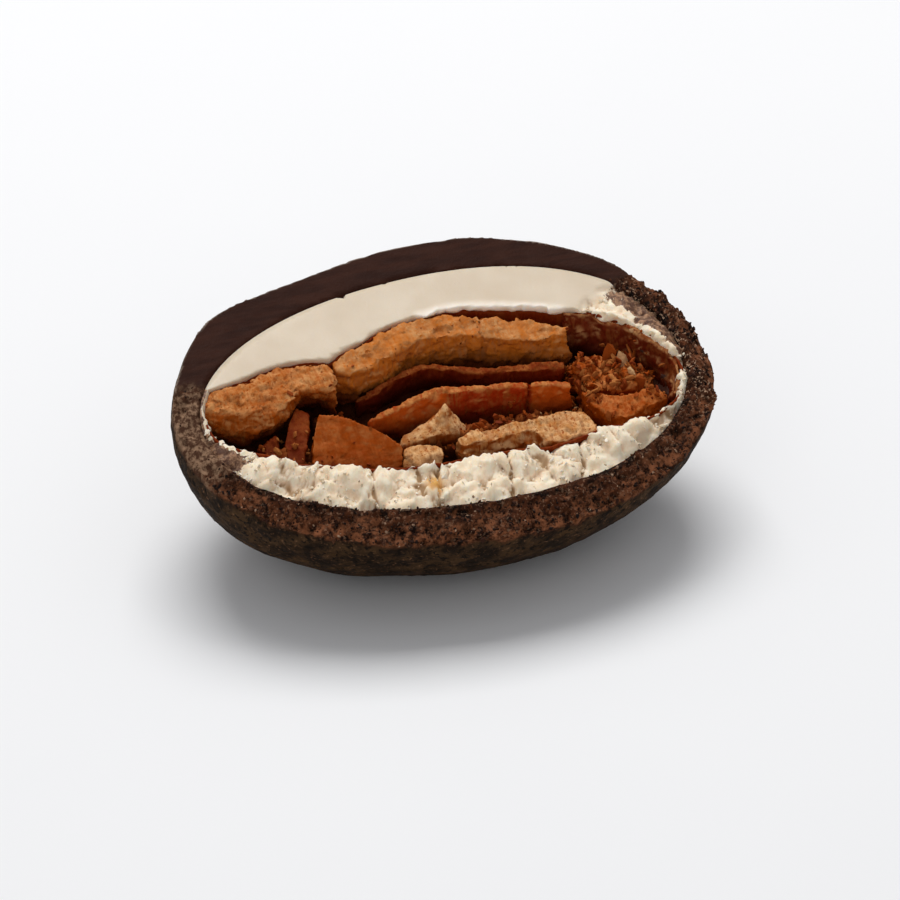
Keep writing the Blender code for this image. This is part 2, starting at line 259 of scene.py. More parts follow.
def dress(tree, shader, colour, satin, dulled, grit, depth, strength=1.0):
    # satin is the roughness' own mask. dulled is an attribute and what it adds to that.
    # grit is the bump's mask, depth its height in millimetres.
    roughness = mask(tree, **satin)
    if dulled:
        amount = mask(tree, attribute=dulled[0])
        roughness = addNode(tree, "ShaderNodeMath", {"operation": "MULTIPLY_ADD", 1: dulled[1]},
                            {0: amount, 2: roughness}).outputs[0]
    bump = addNode(tree, "ShaderNodeBump", {"Strength": strength, "Distance": depth * millimetre},
                   {"Height": mask(tree, **grit)}).outputs["Normal"]
    for key, socket in (("Base Color", colour), ("Roughness", roughness), ("Normal", bump)):
        tree.links.new(socket, shader.inputs[key])


# Camera, light and floor

view = {"azimuth": -22.0, "elevation": 32.0, "distance": 0.45, "frameWidth": 0.0415,
        "target": (0.0004, 0.0, 0.0040), "sensor": 36.0, "nearest": 0.01}


def addCamera():
    side, up = math.radians(view["azimuth"]), math.radians(view["elevation"])
    back = Vector((math.sin(side) * math.cos(up), -math.cos(side) * math.cos(up), math.sin(up)))
    place = Vector(view["target"]) + back * view["distance"]
    bpy.ops.object.camera_add(location=place, rotation=(-back).to_track_quat("-Z", "Y").to_euler())
    camera = bpy.context.object
    camera.data.sensor_width = view["sensor"]
    camera.data.lens = view["sensor"] * view["distance"] / view["frameWidth"]
    camera.data.clip_start = view["nearest"]
    bpy.context.scene.camera = camera


light = {"key": {"place": (0.03, 0.15, 0.30), "size": 0.22, "power": 0.85},
         "front": {"place": (-0.22, -0.30, 0.22), "size": 0.30, "power": 0.22},
         "sky": 0.42, "skyColour": "#F6F7FA"}


def addLights():
    for name in ("key", "front"):
        values = light[name]
        place = Vector(values["place"])
        bpy.ops.object.light_add(type="AREA", location=place,
                                 rotation=(-place).to_track_quat("-Z", "Y").to_euler())
        lamp = bpy.context.object
        lamp.name = name + "Light"
        lamp.data.size = values["size"]
        lamp.data.energy = values["power"]
    world = bpy.data.worlds.new("studio")
    world.use_nodes = True
    sky = world.node_tree.nodes["Background"].inputs
    sky["Color"].default_value = toLinear(light["skyColour"])
    sky["Strength"].default_value = light["sky"]
    bpy.context.scene.world = world
    bpy.context.scene.view_settings.view_transform = "Standard"


def addFloor():
    bpy.ops.mesh.primitive_plane_add(size=3.0)
    floor = bpy.context.object
    floor.name = "floor"
    # Matte white paint on board: no gloss, and hardly any unevenness.
    material, tree, shader = newMaterial("paintedBoard", Roughness=0.7)
    tone = layered(tree, "#EFEFF0", ("#F3F3F3", {"size": 40.0}))
    tree.links.new(tone, shader.inputs["Base Color"])
    floor.data.materials.append(material)


addCamera()
addLights()
addFloor()
print("camera, light and floor are up")


# The cut's two ovals
# The edge of the hollow that holds the kernel, and the white layer's outer edge.

hollowOval = {"middle": (-0.2, -0.3), "halves": (11.3, 4.6), "fullness": 2.2, "egg": 0.03,
              "turn": -4.5}
whiteOval = {"middle": (-0.15, -0.15), "halves": (11.65, 6.95), "fullness": 2.15, "egg": 0.07,
             "turn": 0.0}


def ovalLevel(flat, shape):     # 1 on the oval's edge
    turn = math.radians(shape["turn"])
    off = flat - np.array(shape["middle"])
    along = (off[:, 0] * math.cos(turn) + off[:, 1] * math.sin(turn)) / shape["halves"][0]
    across = off[:, 1] * math.cos(turn) - off[:, 0] * math.sin(turn)
    across = across / (shape["halves"][1] * (1.0 + shape["egg"] * along))
    power = shape["fullness"]
    return (np.abs(along) ** power + np.abs(across) ** power) ** (1.0 / power)


def ovalRadius(turns, middle, shape):       # from middle to the oval's edge, turns in degrees
    fan = np.radians(np.arange(-180.0, 180.0, 0.5))
    aim = np.stack([np.cos(fan), np.sin(fan)], axis=1)
    low, high = np.zeros(len(fan)), np.full(len(fan), 20.0)
    for _ in range(30):
        half = 0.5 * (low + high)
        inside = ovalLevel(middle + aim * half[:, None], shape) < 1.0
        low, high = np.where(inside, half, low), np.where(inside, high, half)
    return np.interp(turns, np.degrees(fan), low, period=360.0)


# Dark coat
# Sliced flat along the back, broken into crumbs along the front and the ends, dusted outside.

coat = {
    "voxel": 0.136, "halves": (13.0, 9.1), "heart": (0.0, 0.0, 1.0),
    "pastWhite": 1.015, "belowWhite": -5.5,     # outside of the white layer's oval, or under it
    "resting": 0.75, "rounds": 90,      # the solid's facets stay this near to the floor
    "slice": (30.0, 160.0, 2.0),        # arcs on the cut in degrees: from, to, and their fade
    "scuff": (161.0, 196.0, 5.0), "paleBits": (-32.0, 30.0, 8.0),
    "wander": (0.9, 3.0, 3.1),          # noises: their size, how far they go, and their seed
    "tornFoot": (0.9, 0.35, 8.0), "wornFoot": (0.7, 0.2, 17.0), "grit": (0.3, 0.04, 5.0),
    "lumps": ((1.9, 0.06, 1.0), (0.75, 0.045, 2.0), (0.28, 0.022, 6.0)),
    "chunk": (1.0, 4.0), "crumb": (0.45, 9.0), "fineCrumb": (0.22, 14.0),      # size and seed
    "far": {"chunk": 0.20, "crumb": 0.15, "fine": 0.05, "crease": 0.05, "sunk": 0.05},
    "seam": 0.10}


def dustedCouverture():
    # Tempered dark chocolate rolled in cocoa powder: matte, mottled skin; a sliced face has a faint
    # satin, a broken one shows redder crumbs with painted shade in the hollows between them.
    material, tree, shader = newMaterial("dustedCouverture", IOR=1.46, Specular_IOR_Level=0.06)
    dust = ["#1F150D", ("#48331F", patches(1.1, 0.38, 0.66, 5.0, 0.65)),
            ("#6E4F38", patches(0.22, 0.56, 0.70)),
            ("#150E08", patches(0.30, 0.47, 0.36, 3.0, 0.6, distortion=0.4))]
    # painted shade: the crumbs' dark base colour shows in the low parts between them
    crumb = ["#120805", ("#432211", {"attribute": "relief", "low": 0.30, "high": 0.75}),
             ("#70422A", patches(0.35, 0.56, 0.72)),
             ("#B8967A", patches(0.17, 0.56, 0.63, 3.0), "speckled"),
             ("#7E4D32", patches(0.4, 0.40, 0.62, 5.0), "tornEdge")]
    face = ["#2C150D",
            ("#391E14", patches(0.5, 0.3, 0.7, 5.0, 0.5, stretch=(0.25, 1.0, 1.0)))]
    scuffs = ["#4A3022", ("#94755C", patches(0.3, 0.42, 0.62))]
    colour = layered(tree, dust, (crumb, "broken"), (face, "sliced"), (scuffs, "scuffed"),
                     # painted highlight: a pale line along the sliced face's outer edge
                     ("#A08F80", "paleEdge"))
    dress(tree, shader, colour, {"size": 0.5, "detail": 4.0, "least": 0.62, "most": 0.92},
          ("sliced", -0.24), {"size": 0.16, "detail": 5.0, "roughness": 0.7}, 0.05)
    return material


def rolledRound(piece, outside, fixed, rounds):
    # Takes the solid's facets off the outside: an ellipsoid is fitted to it, and how far each
    # spot stands from that ellipsoid is evened out among its neighbours.
    spots = places(piece)
    x, y, z = spots[outside & ~fixed][::7].T
    terms = np.stack([x * x, y * y, z * z, x * y, x * z, y * z, x, y, z], axis=1)
    fit = np.linalg.lstsq(terms, np.ones(len(x)), rcond=None)[0]
    bend = np.array([[fit[0], fit[3] / 2, fit[4] / 2], [fit[3] / 2, fit[1], fit[5] / 2],
                     [fit[4] / 2, fit[5] / 2, fit[2]]])
    centre = -0.5 * np.linalg.solve(bend, fit[6:])
    bend /= 1.0 + centre @ bend @ centre
    off = spots - centre
    reach = np.sqrt(np.sum((off @ bend) * off, axis=1))
    ends = np.empty(2 * len(piece.data.edges), dtype=np.int64)
    piece.data.edges.foreach_get("vertices", ends)
    ends = ends.reshape(-1, 2)
    first, second = ends[outside[ends[:, 0]] & outside[ends[:, 1]]].T
    count = len(spots)
    links = np.bincount(first, minlength=count) + np.bincount(second, minlength=count)
    free = outside & ~fixed & (links > 2)
    evened = reach.copy()
    for _ in range(rounds):
        mean = (np.bincount(first, evened[second], count)
                + np.bincount(second, evened[first], count))
        evened = np.where(free, mean / np.maximum(links, 1), evened)
    move(piece, centre + off * (evened / reach)[:, None])


def makeCoat():
    piece = copyOfNode("dark_chocolate_coat", "dustedCoat")
    remesh(piece, coat["voxel"])
    spots, facing = places(piece), normals(piece)
    outside = ovalLevel(spots[:, :2], whiteOval) > coat["pastWhite"]
    outside |= spots[:, 2] < coat["belowWhite"]
    outside &= np.sum(facing * (spots - np.array(coat["heart"])), axis=1) > 0.0
    outside &= facing[:, 2] < 0.75
    rolledRound(piece, outside, aboveFloor(spots) < coat["resting"], coat["rounds"])

    # What is sliced, what is broken, and how far the broken part goes down the outside
    spots, facing = places(piece), normals(piece)
    level, upright = spots[:, 2], facing[:, 2]
    angle = aroundCut(spots, *coat["halves"]) + rippled(spots, coat["wander"])
    sliced = within(angle, *coat["slice"])
    outwards = ovalLevel(spots[:, :2], whiteOval) > coat["pastWhite"]
    outwards &= (facing[:, 0] * spots[:, 0] + facing[:, 1] * spots[:, 1] * 2.0) > -0.15
    rim = np.maximum(smoothStep(0.45, 0.8, upright), ~outwards) * smoothStep(-1.7, -1.1, level)
    torn = smoothStep(-0.85, -0.45, level + rippled(spots, coat["tornFoot"])) * outwards
    broken = np.maximum(rim, torn) * (1.0 - sliced)

    # Crumbs where it broke, calmer on the side, and lumps elsewhere, level where it lies
    chunk = brokenFaces(spots, *coat["chunk"])[0]
    crumb, gap = brokenFaces(spots, *coat["crumb"])
    fine = brokenFaces(spots, *coat["fineCrumb"])[0]
    far = coat["far"]
    crumbs = (far["chunk"] * chunk + far["crumb"] * crumb + far["fine"] * fine
              - far["crease"] * (1.0 - smoothStep(0.0, 0.12, gap))
              + rippled(spots, coat["grit"]) - far["sunk"])
    crumbs *= 0.3 + 0.7 * smoothStep(0.2, 0.7, upright)
    lumps = rippled(spots, *coat["lumps"]) * smoothStep(0.1, 0.8, aboveFloor(spots))
    away = broken * outwards * crumbs + (1.0 - broken) * (1.0 - rim) * outwards * lumps
    seam = ~outwards * smoothStep(-2.5, -1.0, level) * smoothStep(0.3, 0.7, 1.0 - upright)
    away += coat["seam"] * seam         # closes on the white layer
    spots += facing * away[:, None]

    # The crumbs' heights, for painted shade in the low parts between them
    relief = 0.17 * crumb + 0.08 * fine + 0.1 * chunk
    scuffed = withinArc(angle, *coat["scuff"]) * np.maximum(rim, torn)
    foot = smoothStep(-0.1, -0.4, level + rippled(spots, coat["wornFoot"]))
    # A painted highlight along the sliced face's outer edge, where it rounds over
    edge = smoothStep(0.25, 0.55, upright) * (1.0 - smoothStep(0.60, 0.88, upright))
    edge *= smoothStep(-0.35, -0.1, level)
    mark(piece, broken=broken, sliced=rim * sliced, scuffed=scuffed,
         relief=np.clip(0.5 + 2.0 * relief, 0.0, 1.0),
         speckled=(0.25 + 0.6 * within(angle, *coat["paleBits"])) * broken,
         tornEdge=broken * outwards * foot, paleEdge=0.85 * edge * sliced * outwards)
    move(piece, spots)
    surface = {"spots": spots.copy(), "facing": normals(piece),
               "torn": broken * (1.0 - 0.9 * scuffed)}
    settle(piece, dustedCouverture(), "dark_chocolate", "dark_chocolate_coat")
    return surface


coatSurface = makeCoat()


# White layer
# Smooth where sliced along the back, torn into chalky chunks along the front.

hollow = {"middle": (-0.2, -0.3), "depth": (-3.8, -1.4), "edge": [
    (-11.4, 1.7), (-10.7, 2.7), (-10, 2.8), (-9.1, 2.9), (-7.7, 3.2), (-6.7, 3.3), (-5.5, 3.2),
    (-4.7, 3), (-4, 3.3), (-2.7, 3.7), (-1.6, 4.2), (-0.4, 4.4), (0.7, 4.5), (1.6, 4.6),
    (2.3, 4.5), (3.6, 4.2), (4.9, 3.8), (6.2, 3.4), (6.9, 3.1), (8.2, 2.7), (8.9, 2.1),
    (9.6, 1.6), (10.2, 0.9), (10.7, 0.1), (11, -0.6), (11.1, -1.5), (10.9, -2.4), (10.3, -3.3),
    (9.1, -4.1), (8.3, -4.3), (7.4, -4.5), (6.3, -4.3), (5.1, -4.6), (4.2, -4.7), (2.9, -4.7),
    (1.6, -4.5), (0.1, -4.5), (-1.3, -4.4), (-2.8, -4.3), (-4.5, -4), (-6.2, -3.5), (-7.2, -3.1),
    (-8.2, -2.6), (-9.4, -1.8), (-10.6, -1.1), (-11.2, -0.5), (-11.5, 0.3)]}
white = {
    "voxel": 0.115, "halves": (11.65, 6.95), "wall": (0.984, -0.7, 1.004),
    "slice": (33.0, 172.0, 3.0),        # arc on the cut in degrees: from, to, and its fade
    "wander": (0.8, 2.5, 3.1),          # noises: their size, how far they go, and their seed
    "grit": (0.16, 0.05, 5.0), "ragged": ((0.7, 0.26, 12.0), (0.25, 0.16, 13.0)),
    "frayed": ((0.8, 0.05, 21.0), (0.2, 0.04, 22.0)),
    "worn": ((0.4, 0.12, 2.0), (0.15, 0.08, 4.0)),
    "chunk": (1.5, 2.0), "split": (0.62, 7.0), "fine": (0.26, 9.0),     # size and seed
    "far": {"chunk": 0.34, "border": 0.12, "split": 0.16, "fine": 0.07, "crack": 0.34},
    "cracks": (-5.5, -2.4, 1.1, 4.6), "crackWidth": 0.09,       # places along the bean
    "nick": -2.7, "nickWidth": 0.13, "nickDepth": 0.022,
    "lip": (0.2, 7.1, 0.25), "hook": 6.6, "hookWidth": 0.16, "hookReach": 0.26,
    "stain": (-2.6, -5.3), "proud": 0.03,
    # coat smeared on it: an arc and its fade, then from where to where across the layer
    "smears": [(158.0, 196.0, 4.0, 0.22, 0.35), (-9.0, 16.0, 5.0, 0.12, 0.30),
               (12.0, 31.0, 5.0, 0.30, 0.55)]}


def radiusTable(points, middle):
    offsets = np.array(points) - np.array(middle)
    turns = np.degrees(np.arctan2(offsets[:, 1], offsets[:, 0]))
    order = np.argsort(turns)
    return turns[order], np.hypot(offsets[:, 0], offsets[:, 1])[order]


def bell(value, middle, width):
    return np.exp(-((value - middle) / width) ** 2)


def crackedWhiteChocolate():
    # Milk and cocoa butter: cream satin where a blade went through, chalky where it was torn.
    # Light goes a little way in. Painted shade browns the torn hollows and the hollow's low wall,
    # and the lip's pale is a painted highlight.
    material, tree, shader = newMaterial("crackedWhiteChocolate", IOR=1.46, Subsurface_Weight=0.35,
                                         Subsurface_Scale=0.0006,
                                         Subsurface_Radius=(1.0, 0.75, 0.5))
    smooth = ["#D3C0A6", ("#DCCBB3", patches(3.0, 0.3, 0.7, 2.0, 0.6))]
    chalk = ["#F8DDBC", ("#FFEED4", patches(0.5, 0.35, 0.65)),
             # painted shade: brown in the low parts of the torn chunks
             ("#B48F66", {"attribute": "relief", "low": 0.30, "high": 0.05})]
    smears = ["#57341F", ("#A47C5C", patches(0.3, 0.42, 0.62))]
    colour = layered(tree, smooth, (chalk, "torn"), ("#D9A04E", "stain"),
                     (smears, patches(0.16, 0.84, 0.96, 4.0, 0.75, attribute="smeared")),
                     # the lip's pale is a painted highlight; the dark brown low down is partly seed
                     # skin, partly painted shade
                     ("#FFF1E2", "lip"), ("#4A2210", "buried"))
    dress(tree, shader, colour, {"size": 0.8, "detail": 4.0, "least": 0.34, "most": 0.58},
          ("torn", 0.2), {"size": 0.13, "detail": 5.0, "roughness": 0.7}, 0.03, 0.7)
    return material


def makeWhite():
    piece = copyOfNode("white_chocolate_layer", "whiteLayer")
    remesh(piece, white["voxel"])

    # Its outer wall lies on its oval, so that the seam is clean, but for one nick at the back.
    spots = places(piece)
    level = ovalLevel(spots[:, :2], whiteOval)
    past, foot, seam = white["wall"]
    wall = (level > past) & (spots[:, 2] > foot)
    nick = bell(spots[:, 0], white["nick"], white["nickWidth"]) * (spots[:, 1] > 0.0)
    wanted = (seam - white["nickDepth"] * nick) / level
    centre = np.array(whiteOval["middle"])
    spots[wall, :2] = centre + (spots[wall, :2] - centre) * wanted[wall][:, None]
    move(piece, spots)

    # Its hollow follows the kernel's edge.
    facing = normals(piece)
    middle = np.array(hollow["middle"])
    flat = spots[:, :2] - middle
    turn = np.degrees(np.arctan2(flat[:, 1], flat[:, 0]))
    radius = np.hypot(flat[:, 0], flat[:, 1])
    inner = ovalRadius(turn, middle, hollowOval)
    outer = ovalRadius(turn, middle, whiteOval)
    wanted = np.interp(turn, *radiusTable(hollow["edge"], middle), period=360.0)
    across = np.clip((radius - inner) / (outer - inner), 0.0, 1.0)      # 0 at the hollow
    pull = (1.0 - across) * smoothStep(*hollow["depth"], spots[:, 2])
    spots[:, :2] = middle + flat * (1.0 + (wanted / inner - 1.0) * pull)[:, None]
    outwards = flat / radius[:, None]

    # Chunks and cracks where it tore. The front leans towards its outer edge.
    angle = aroundCut(spots, *white["halves"]) + rippled(spots, white["wander"])
    sliced = within(angle, *white["slice"])
    rim = smoothStep(-1.9, -1.2, spots[:, 2])
    torn = rim * (1.0 - sliced)
    body, border = grains(spots * np.array([1.0, 0.7, 0.7]), *white["chunk"])
    far = white["far"]
    chunks = (far["chunk"] * (body - 0.6) - far["border"] * (1.0 - smoothStep(0.0, 0.12, border))
              + far["split"] * brokenFaces(spots, *white["split"])[0]
              + far["fine"] * brokenFaces(spots, *white["fine"])[0]
              + rippled(spots, white["grit"]))
    for place in white["cracks"]:
        bent = 0.25 * (spots[:, 1] + 5.3) + 0.12 * ripple(spots, 0.5, place)
        crack = bell(spots[:, 0] - bent, place, white["crackWidth"]) * (spots[:, 1] < -3.0)
        chunks -= far["crack"] * crack
    slope = smoothStep(-0.5, -4.0, spots[:, 1])
    spots += (0.6 * facing + np.array([0.0, 0.0, 0.4])) * (torn * chunks)[:, None]
    spots[:, 2] -= torn * ((0.25 + 0.35 * slope) * across ** 1.4 - 0.06)
    spots[:, 2] += white["proud"] * sliced * rim        # the blade leaves it above the coat
    ragged = torn * (1.0 - across) ** 4 * (rippled(spots, *white["ragged"]) - 0.10)
    spots[:, :2] += outwards * ragged[:, None]
    frayed = sliced * rim * (1.0 - across) ** 8 * rippled(spots, *white["frayed"])
    spots[:, :2] += outwards * frayed[:, None]

    # A thin lip hangs over the kernel along the back; its pale colour is a painted highlight.
    lip = within(spots[:, 0], *white["lip"]) * (spots[:, 1] > 2.0)
    lip *= (1.0 - smoothStep(0.02, 0.16, across)) * smoothStep(-0.40, -0.15, spots[:, 2])
    hook = white["hookReach"] * bell(spots[:, 0], white["hook"], white["hookWidth"])
    reachIn = lip * (0.14 + 0.12 * ripple(spots, 0.35, 15.0) + hook)
    spots[:, :2] -= outwards * reachIn[:, None]
    spots[:, 2] += 0.08 * lip * (1.0 + ripple(spots, 0.5, 16.0))

    off = np.hypot(spots[:, 0] - white["stain"][0], spots[:, 1] - white["stain"][1])
    off += 0.3 * ripple(spots, 0.4, 6.0)
    worn = across + rippled(spots, *white["worn"])
    smear = 0.0 * worn
    for *arc, inEdge, outEdge in white["smears"]:
        smear = np.maximum(smear, withinArc(angle, *arc) * rim * smoothStep(inEdge, outEdge, worn))
    # Dark brown down the hollow's wall and far below: partly the seed skin's colour, partly painted
    # shade under the lip.
    buried = np.where(across < 0.06, smoothStep(-0.3, -0.7, spots[:, 2]),
                      smoothStep(-1.2, -2.0, spots[:, 2]))
    mark(piece, torn=torn, relief=np.clip(0.5 + 1.4 * chunks, 0.0, 1.0),
         stain=torn * (1.0 - smoothStep(0.15, 0.75, off)), smeared=smear, lip=0.8 * lip,
         buried=buried)
    move(piece, spots)
    surface = {"spots": spots.copy(), "facing": normals(piece),
               "torn": torn * (1.0 - smear) * (across > 0.15)}
    settle(piece, crackedWhiteChocolate(), "white_chocolate", "white_chocolate_layer")
    return surface


whiteSurface = makeWhite()


# Kernel
# Each piece is a sheet of rows from its back edge to the foot of its front wall, closed below.

def roastedNib(name, top, pale, wall, shadeColour, matte):
    # Roasted cocoa kernel: tan and granular where it broke across, orange to dark red and satin
    # along the folds of the seed leaf. The near black in the cracks, in the pits and low down is
    # painted shade, the pale edges are a painted highlight, and the tan of the upward faces is
    # partly painted light on the tops.
    material, tree, shader = newMaterial(name, IOR=1.48, Specular_IOR_Level=0.05)
    fibres = {"detail": 4.0, "roughness": 0.5, "distortion": 0.3, "stretch": (1.0, 0.14, 0.25)}
    granular = [top, (pale, patches(0.45, 0.36, 0.64, 5.0)),
                (wall, patches(2.4, 0.46, 0.66, 3.0, 0.5, most=0.5)),
                (wall, patches(0.15, 0.52, 0.36, most=0.45, **fibres)),
                (wall, patches(0.14, 0.44, 0.34, 3.0))]
    folded = [wall, (top, patches(0.8, 0.35, 0.66, 5.0, 0.65)),
              (wall, patches(0.15, 0.60, 0.38, **fibres))]
    # painted shade in the pits and low down, and a painted highlight along the edges
    colour = layered(tree, folded, (granular, "grainy"), (shadeColour, "pit"),
                     ("#DC6218", {"attribute": "fresh", "most": 0.7}), (pale, "arris"),
                     (shadeColour, "sunken"))
    satin = {"size": 0.3, "detail": 4.0, "least": matte - 0.12, "most": matte + 0.12}
    dress(tree, shader, colour, satin, ("grainy", 0.2),
          {"size": 0.12, "detail": 5.0, "roughness": 0.75}, 0.04)
    return material


# Slot, colours on top, at the palest, on the walls and of the painted shade low down, and the
# middle of the roughness
nibKinds = {
    "brokenCocoaNib": ("kernel_tan", "#BC7136", "#D89A60", "#AA4C08", "#330B03", 0.55),
    "paleCocoaNib": ("kernel_tan", "#CA8A4E", "#EABA84", "#A04C10", "#330B03", 0.55),
    "fibrousCocoaNib": ("kernel_tan", "#B86F38", "#D39860", "#CC7020", "#4A1606", 0.55),
    "driedSeedSkin": ("seed_skin", "#84441E", "#C08A58", "#6A1F08", "#1E0502", 0.5),
    "foldedCocoaNib": ("kernel_orange", "#A84A09", "#D08448", "#9C4004", "#3A0D03", 0.42),
    "seedLeafFold": ("kernel_orange", "#AC5C26", "#D28A4C", "#A83006", "#300702", 0.42),
    # The two darkest kinds are darker for the pieces that lie low: partly the kernel's redder
    # colour, partly painted shade.
    "deepCocoaNib": ("kernel_red", "#86360C", "#A8602C", "#702004", "#220502", 0.5),
    "nibBelowTheCracks": ("kernel_red", "#7A340F", "#A05A2A", "#5A1A06", "#1C0602", 0.7)}
nibMaterials = {name: roastedNib(name, *values[1:]) for name, values in nibKinds.items()}


def through(values, share):     # a smooth curve through the values
    last = len(values) - 1
    where = min(max(share, 0.0), 1.0) * last
    i = min(int(where), last - 1)
    t = where - i
    before, start = values[max(i - 1, 0)], values[i]
    end, after = values[i + 1], values[min(i + 2, last)]
    return 0.5 * (2.0 * start + (end - before) * t
                  + (2.0 * before - 5.0 * start + 4.0 * end - after) * t ** 2
                  + (3.0 * start - before - 3.0 * end + after) * t ** 3)


sheet = {"seat": -2.5, "steps": 6, "voxel": 0.07}       # its underside, and how fine it is


def addGrid(name, columns, rows):
    bpy.ops.object.select_all(action="DESELECT")
    bpy.ops.mesh.primitive_grid_add(x_subdivisions=columns, y_subdivisions=rows, size=2.0)
    piece = bpy.context.object
    piece.name = name
    return piece


def sheetOfRows(name, rows):
    piece = addGrid(name, sheet["steps"] * (len(rows[0]) - 1), len(rows) - 1)
    curves = [[Vector(point) for point in row] for row in rows]
    for vertex in piece.data.vertices:
        share = (vertex.co.x + 1.0) / 2.0
        row = round((1.0 - vertex.co.y) / 2.0 * (len(rows) - 1))
        vertex.co = through(curves[row], share)
    bpy.ops.object.mode_set(mode="EDIT")
    bpy.ops.mesh.select_mode(type="EDGE")
    bpy.ops.mesh.select_all(action="DESELECT")
    bpy.ops.mesh.select_non_manifold()
    bpy.ops.mesh.extrude_region_move()
    bpy.ops.object.mode_set(mode="OBJECT")
    for vertex in piece.data.vertices:
        if vertex.select:
            vertex.co.z = sheet["seat"]
    bpy.ops.object.mode_set(mode="EDIT")
    bpy.ops.mesh.edge_face_add()
    bpy.ops.mesh.select_all(action="SELECT")
    bpy.ops.mesh.normals_make_consistent(inside=False)
    bpy.ops.object.mode_set(mode="OBJECT")
    return piece


# The sizes of what a break shows, and for the waves also their share of the piece's jag.
nibBreak = {"waves": ((1.1, 0.8), (0.42, 0.7), (0.17, 0.3)), "chips": (0.5, 0.45),
            "patch": 0.35, "grain": 0.26, "grit": 0.12, "pit": 0.16, "split": 0.9, "flake": 0.36,
            "alongRibs": (0.8, 5.0, 5.0), "alongFlakes": (0.5, 1.0, 1.0),
            "crackWidth": 0.07, "crackDepth": 0.22, "freshFade": 0.08}
nibs = []


def makeNib(name, node, kind, seed, rows, jag=0.10, grain=0.05, striae=0.012,
            striaeSize=0.22, cracks=(), pitted=0.6, fresh=(), granular=1.0):
    piece = sheetOfRows(name, rows)
    remesh(piece, sheet["voxel"], 1)
    size = nibBreak

    # A jagged outline
    spots = places(piece)
    for wave, share in size["waves"]:
        shift = [ripple(spots, wave, seed + 3.0 * k) for k in range(3)]
        spots += share * jag * np.stack(shift, axis=1)
    chipped = [brokenFaces(spots, chip, seed + 1.0 + k)[0] for k, chip in enumerate(size["chips"])]
    spots[:, :2] += 0.5 * jag * np.stack(chipped, axis=1)
    move(piece, spots)

    # Grains and pits on top, ribs, splits and flakes all over, and cracks
    spots, facing = places(piece), normals(piece)
    # The upward faces get the granular tan: partly the broken nib's own colour, partly painted
    # light on the tops.
    grainy = smoothStep(0.45, 0.80, facing[:, 2] + 0.22 * ripple(spots, size["patch"], seed))
    body = grains(spots, size["grain"], seed)[0]
    pits = pitted * smoothStep(0.25, 0.55, ripple(spots, size["pit"], seed + 2.0)) * grainy
    split = brokenFaces(spots, size["split"], seed)[0]
    flaked = brokenFaces(spots * np.array(size["alongFlakes"]), size["flake"], seed + 4.0)[0]
    ribs = ripple(spots, striaeSize, seed + 5.0, size["alongRibs"])
    away = (grain * grainy * (1.2 * (body - 0.55) + 0.4 * ripple(spots, size["grit"], seed))
            - 0.9 * grain * pits + striae * ribs + 0.9 * jag * split + 0.45 * jag * flaked)
    for place in cracks:
        bent = 0.3 * spots[:, 1] + 0.08 * ripple(spots, 0.6, seed)
        away -= size["crackDepth"] * bell(spots[:, 0] - bent, place, size["crackWidth"])
    spots += facing * away[:, None]
    move(piece, spots)

    # A painted highlight along the edges between the tops and the walls.
    arris = smoothStep(-0.1, 0.5, ripple(spots, 0.5, seed + 8.0))
    arris *= within(normals(piece)[:, 2], 0.40, 0.8, 0.12)
    newer = 0.0 * grainy
    for start, end in fresh:
        newer += within(spots[:, 0], start, end, size["freshFade"])
    # painted shade in the pits and further below the cut, and a painted highlight along the edges
    mark(piece, grainy=granular * grainy, pit=0.55 * pits, fresh=newer * (1.0 - grainy),
         arris=0.7 * arris * smoothStep(-1.6, -0.9, spots[:, 2]),
         sunken=0.9 * smoothStep(-0.8, -2.1, spots[:, 2]))
    settle(piece, nibMaterials[kind], nibKinds[kind][0], node)
    nibs.append(piece)


lobeLeft = {
    "node": "kernel_lobe_left", "kind": "brokenCocoaNib", "seed": 11.0,
    "jag": 0.13, "grain": 0.07, "rows": [
    [(-11.2, 2.1, -0.5), (-10.7, 2.6, -0.15), (-10, 2.7, -0.05), (-9.2, 2.7, 0), (-8.2, 2.9, 0),
     (-7.3, 3.1, 0), (-6.5, 3.1, 0), (-5.6, 3, 0), (-4.9, 2.8, -0.05), (-4.75, 2.2, -0.1)],
    [(-11.25, 1.8, -0.5), (-10.8, 2.1, -0.1), (-10.1, 2.1, 0), (-9.3, 2.1, 0.05),
     (-8.4, 2.2, 0.05), (-7.6, 2.2, 0.05), (-6.7, 2.2, 0.05), (-5.9, 2.2, 0.05), (-5.2, 2, 0.05),
     (-4.8, 1.7, -0.05)],
    [(-11.2, 1.6, -0.6), (-10.8, 1.4, -0.35), (-10.2, 1.3, -0.35), (-9.5, 1.1, -0.3),
     (-8.8, 1, -0.3), (-8.2, 0.7, -0.25), (-7.4, 1.1, -0.2), (-6.6, 1.6, -0.15),
     (-5.7, 1.4, -0.1), (-4.9, 1.2, -0.15)],
    [(-11.2, 1.5, -0.9), (-10.9, 1.2, -1), (-10.2, 0.9, -1.1), (-9.6, 0.6, -1.1),
     (-8.8, 0.5, -1), (-8, 0.6, -0.9), (-7.3, 0.9, -0.8), (-6.6, 1.7, -0.7), (-5.7, 1.6, -0.6),
     (-5, 1.3, -0.6)],
    [(-11, 1.6, -1.7), (-10.6, 1.5, -2.1), (-10.1, 1.1, -2.2), (-9.4, 0.8, -2.2),
     (-8.7, 0.9, -2.2), (-7.8, 1.2, -2.2), (-7, 1.6, -2.1), (-6.5, 2.3, -2.2), (-5.6, 2.3, -2.2),
     (-5.1, 1.9, -2.2)]]}
makeNib("lobeLeft", **lobeLeft)

